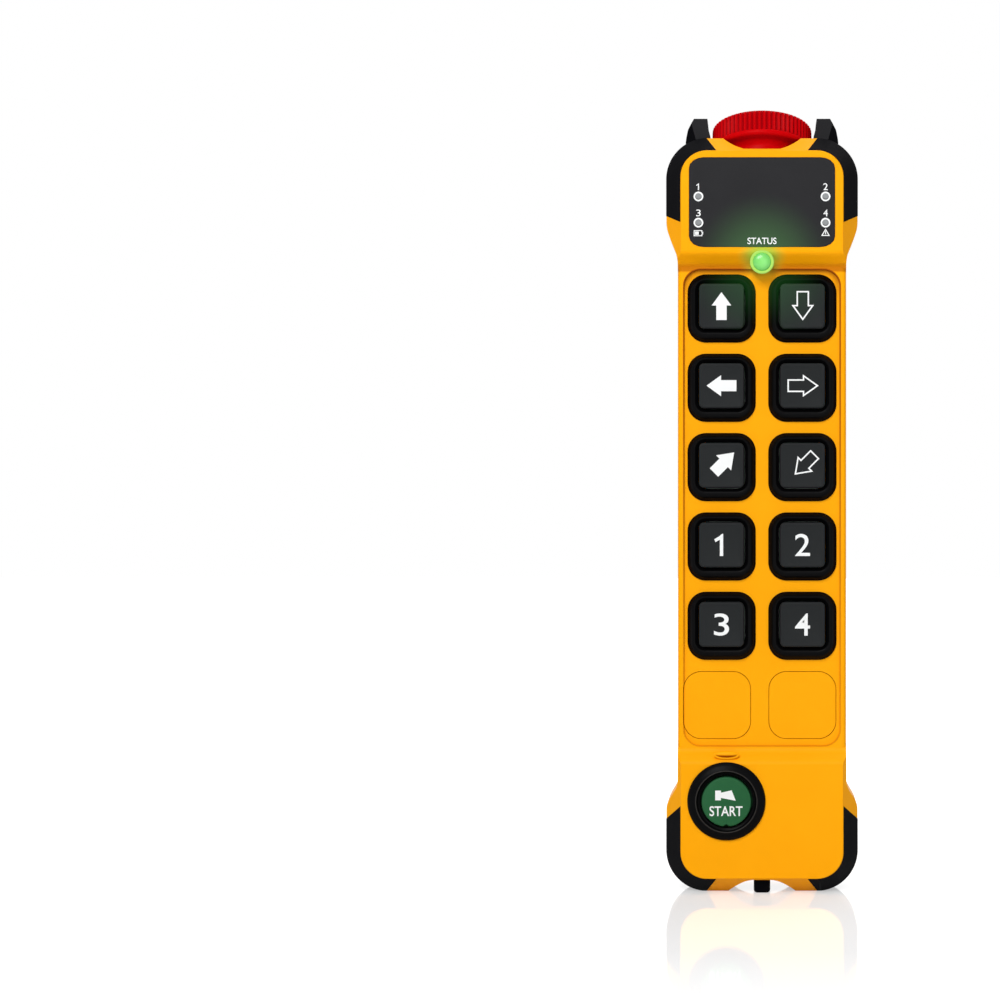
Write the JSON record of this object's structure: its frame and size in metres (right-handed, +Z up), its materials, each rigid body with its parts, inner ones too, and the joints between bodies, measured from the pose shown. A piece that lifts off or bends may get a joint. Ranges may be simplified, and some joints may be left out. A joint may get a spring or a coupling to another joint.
{
  "type": "crane radio remote control",
  "caption": "Hand-held radio remote for a crane: tall case with corner bumpers, square push buttons, start button and a tilted ribbed stop knob on top.",
  "frame": {"origin": "centre of the base, on the surface it stands on", "axes": "+Z up along the case towards the stop knob, keys face -Y, +X to the right of the keys"},
  "size_m": [0.0678, 0.0412, 0.2759],
  "materials": {
    "case_yellow": "satin",
    "rubber_black": "matte",
    "cap_black": "satin",
    "knob_red": "satin",
    "start_green": "satin",
    "label_grey": "satin",
    "lens_green": "gloss",
    "lens_grey": "gloss",
    "board_green": "satin",
    "part_black": "satin",
    "pack_grey": "satin",
    "steel": "brushed",
    "contact_brass": "satin",
    "legend_white": "satin"
  },
  "bodies": {
    "case": {"front_shell": "case_yellow", "rear_shell": "case_yellow", "blank_plug_left": "case_yellow", "blank_plug_right": "case_yellow", "case_gasket": "rubber_black", "cover_seal": "rubber_black", "stop_seal": "rubber_black", "upper_bumper_left": "rubber_black", "upper_bumper_right": "rubber_black", "lower_bumper_left": "rubber_black", "lower_bumper_right": "rubber_black", "start_bezel": "rubber_black", "lanyard_post": "cap_black", "case_screws": "steel", "board_screws": "steel", "stop_nut": "steel", "radio_module": "steel", "battery_contacts": "contact_brass", "label_plate": "label_grey", "status_lens": "lens_green", "status_led": "lens_green", "indicator_lenses": "lens_grey", "indicator_board_left": "board_green", "indicator_board_right": "board_green", "main_board": "board_green", "key_frame": "part_black", "key_switches": "part_black", "start_switch": "part_black", "stop_collar": "part_black", "stop_contact_block": "part_black", "antenna": "part_black", "battery_pack": "pack_grey", "boot_up": "rubber_black", "boot_down": "rubber_black", "boot_left": "rubber_black", "boot_right": "rubber_black", "boot_forward": "rubber_black", "boot_reverse": "rubber_black", "boot_1": "rubber_black", "boot_2": "rubber_black", "boot_3": "rubber_black", "boot_4": "rubber_black"},
    "battery_lid": {"battery_cover": "case_yellow", "cover_screws": "steel"},
    "start_button": {"start_cap": "start_green"},
    "stop_plunger": {"stop_stem": "steel"},
    "stop_head": {"stop_knob": "knob_red"},
    "key_up": {"button_up": "cap_black"},
    "key_down": {"button_down": "cap_black"},
    "key_left": {"button_left": "cap_black"},
    "key_right": {"button_right": "cap_black"},
    "key_forward": {"button_forward": "cap_black"},
    "key_reverse": {"button_reverse": "cap_black"},
    "key_1": {"button_1": "cap_black"},
    "key_2": {"button_2": "cap_black"},
    "key_3": {"button_3": "cap_black"},
    "key_4": {"button_4": "cap_black"}
  },
  "joints": [
    {"name": "press_up", "type": "slide", "parent": "case", "child": "key_up", "axis": [0, 1, 0], "range_m": [0, 0.0035], "stiffness_N_per_m": 400, "springref_m": -0.0025},
    {"name": "press_down", "type": "slide", "parent": "case", "child": "key_down", "axis": [0, 1, 0], "range_m": [0, 0.0035], "stiffness_N_per_m": 400, "springref_m": -0.0025},
    {"name": "press_left", "type": "slide", "parent": "case", "child": "key_left", "axis": [0, 1, 0], "range_m": [0, 0.0035], "stiffness_N_per_m": 400, "springref_m": -0.0025},
    {"name": "press_right", "type": "slide", "parent": "case", "child": "key_right", "axis": [0, 1, 0], "range_m": [0, 0.0035], "stiffness_N_per_m": 400, "springref_m": -0.0025},
    {"name": "press_forward", "type": "slide", "parent": "case", "child": "key_forward", "axis": [0, 1, 0], "range_m": [0, 0.0035], "stiffness_N_per_m": 400, "springref_m": -0.0025},
    {"name": "press_reverse", "type": "slide", "parent": "case", "child": "key_reverse", "axis": [0, 1, 0], "range_m": [0, 0.0035], "stiffness_N_per_m": 400, "springref_m": -0.0025},
    {"name": "press_1", "type": "slide", "parent": "case", "child": "key_1", "axis": [0, 1, 0], "range_m": [0, 0.0035], "stiffness_N_per_m": 400, "springref_m": -0.0025},
    {"name": "press_2", "type": "slide", "parent": "case", "child": "key_2", "axis": [0, 1, 0], "range_m": [0, 0.0035], "stiffness_N_per_m": 400, "springref_m": -0.0025},
    {"name": "press_3", "type": "slide", "parent": "case", "child": "key_3", "axis": [0, 1, 0], "range_m": [0, 0.0035], "stiffness_N_per_m": 400, "springref_m": -0.0025},
    {"name": "press_4", "type": "slide", "parent": "case", "child": "key_4", "axis": [0, 1, 0], "range_m": [0, 0.0035], "stiffness_N_per_m": 400, "springref_m": -0.0025},
    {"name": "press_start", "type": "slide", "parent": "case", "child": "start_button", "axis": [0, 1, 0], "range_m": [0, 0.004], "stiffness_N_per_m": 400, "springref_m": -0.003},
    {"name": "strike_stop", "type": "slide", "parent": "case", "child": "stop_plunger", "axis": [0, -0.309, -0.9511], "range_m": [0, 0.004], "stiffness_N_per_m": 1200, "springref_m": -0.004},
    {"name": "twist_release", "type": "hinge", "parent": "stop_plunger", "child": "stop_head", "pos_m": [0, 0.001, 0.2626], "axis": [0, 0.309, 0.9511], "range_deg": [0, 45], "stiffness_Nm_per_rad": 0.02, "springref_deg": -8.59},
    {"name": "lift_off_cover", "type": "slide", "parent": "case", "child": "battery_lid", "axis": [0, 1, 0], "range_m": [0, 0.025]}
  ]
}
